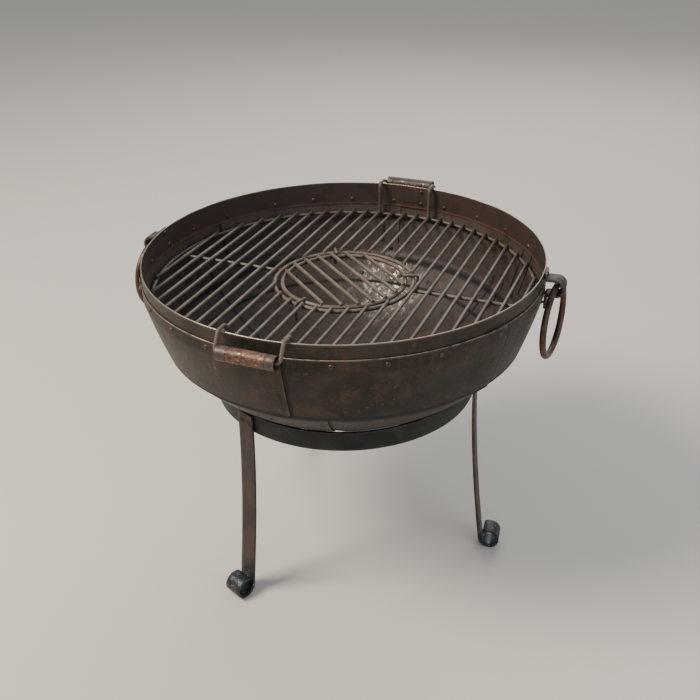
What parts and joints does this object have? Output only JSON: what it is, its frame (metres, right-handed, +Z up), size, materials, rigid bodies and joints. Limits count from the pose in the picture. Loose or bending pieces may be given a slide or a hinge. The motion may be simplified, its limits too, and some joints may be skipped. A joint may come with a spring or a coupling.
{
  "type": "riveted iron fire bowl on stand",
  "caption": "Riveted sheet-iron fire bowl on a ring stand with scroll feet, with a lift-out bar grate, tube grips and hanging lifting rings.",
  "frame": {"origin": "on the bowl's axis, on the floor under the scroll feet", "axes": "+Z up along the bowl's axis; -Y is the front, towards the first tube grip; +X right, towards the first lifting ring"},
  "size_m": [0.6858, 0.657, 0.5462],
  "materials": {
    "oiled_sheet": "hand-beaten sheet iron, oiled and heat-browned",
    "rivet_iron": "hammered rivet, worn",
    "stand_bar": "blackened flat bar with rust",
    "grate_rod": "scrubbed rod, rusty at the welds",
    "middle_rod": "rusty rod",
    "tube_steel": "scratched rusty tube",
    "forged_ring": "brown worn iron"
  },
  "bodies": {
    "stand": {"stand_ring": "stand_bar", "leg_1": "stand_bar", "leg_2": "stand_bar", "leg_3": "stand_bar", "leg_rivet_1": "stand_bar", "leg_rivet_2": "stand_bar", "leg_rivet_3": "stand_bar", "leg_rivet_4": "stand_bar", "leg_rivet_5": "stand_bar", "leg_rivet_6": "stand_bar"},
    "bowl": {"rim_band": "oiled_sheet", "panel_1": "oiled_sheet", "panel_2": "oiled_sheet", "panel_3": "oiled_sheet", "panel_4": "oiled_sheet", "panel_5": "oiled_sheet", "panel_6": "oiled_sheet", "lower_plate_1": "oiled_sheet", "lower_plate_2": "oiled_sheet", "lower_plate_3": "oiled_sheet", "base_disc": "oiled_sheet", "band_lap_rivet_1": "rivet_iron", "band_lap_rivet_2": "rivet_iron", "rim_rivet_1": "rivet_iron", "rim_rivet_2": "rivet_iron", "rim_rivet_3": "rivet_iron", "rim_rivet_4": "rivet_iron", "rim_rivet_5": "rivet_iron", "rim_rivet_6": "rivet_iron", "seam_rivet_1": "rivet_iron", "seam_rivet_2": "rivet_iron", "seam_rivet_3": "rivet_iron", "seam_rivet_4": "rivet_iron", "seam_rivet_5": "rivet_iron", "seam_rivet_6": "rivet_iron", "lower_rivet_1": "rivet_iron", "lower_rivet_2": "rivet_iron", "lower_rivet_3": "rivet_iron", "lower_rivet_4": "rivet_iron", "lower_rivet_5": "rivet_iron", "lower_rivet_6": "rivet_iron", "ring_loop_1": "stand_bar", "ring_loop_2": "stand_bar", "loop_rivet_1": "rivet_iron", "loop_rivet_2": "rivet_iron", "loop_rivet_3": "rivet_iron", "loop_rivet_4": "rivet_iron"},
    "lift_ring_1": {"lift_ring_1": "forged_ring"},
    "lift_ring_2": {"lift_ring_2": "forged_ring"},
    "grate": {"cooking_grate": "grate_rod", "handle_rod_front": "grate_rod", "handle_rod_back": "grate_rod"},
    "handle_tube_front": {"handle_tube_front": "tube_steel"},
    "handle_tube_back": {"handle_tube_back": "tube_steel"},
    "middle_grate": {"middle_grate": "middle_rod", "hook_1": "middle_rod", "hook_2": "middle_rod", "hook_3": "middle_rod"}
  },
  "joints": [
    {"name": "bowl_lift", "type": "slide", "parent": "stand", "child": "bowl", "axis": [0, 0, 1], "range_m": [0, 0.25]},
    {"name": "grate_lift", "type": "slide", "parent": "bowl", "child": "grate", "axis": [0, 0, 1], "range_m": [0, 0.15]},
    {"name": "middle_grate_lift", "type": "slide", "parent": "grate", "child": "middle_grate", "axis": [0, 0, 1], "range_m": [0, 0.1]},
    {"name": "lift_ring_1_swing", "type": "hinge", "parent": "bowl", "child": "lift_ring_1", "pos_m": [0.31242, -0.10151, 0.51493], "axis": [-0.454, -0.891, 0], "range_deg": [-11, 194]},
    {"name": "lift_ring_2_swing", "type": "hinge", "parent": "bowl", "child": "lift_ring_2", "pos_m": [-0.31242, 0.10151, 0.51493], "axis": [0.454, 0.891, 0], "range_deg": [-11, 194]},
    {"name": "handle_tube_front_spin", "type": "hinge", "parent": "grate", "child": "handle_tube_front", "pos_m": [-0.12638, -0.30213, 0.51943], "axis": [0.9225, -0.3859, 0], "continuous": true},
    {"name": "handle_tube_back_spin", "type": "hinge", "parent": "grate", "child": "handle_tube_back", "pos_m": [0.12638, 0.30213, 0.53543], "axis": [0.9225, -0.3859, 0], "continuous": true}
  ]
}
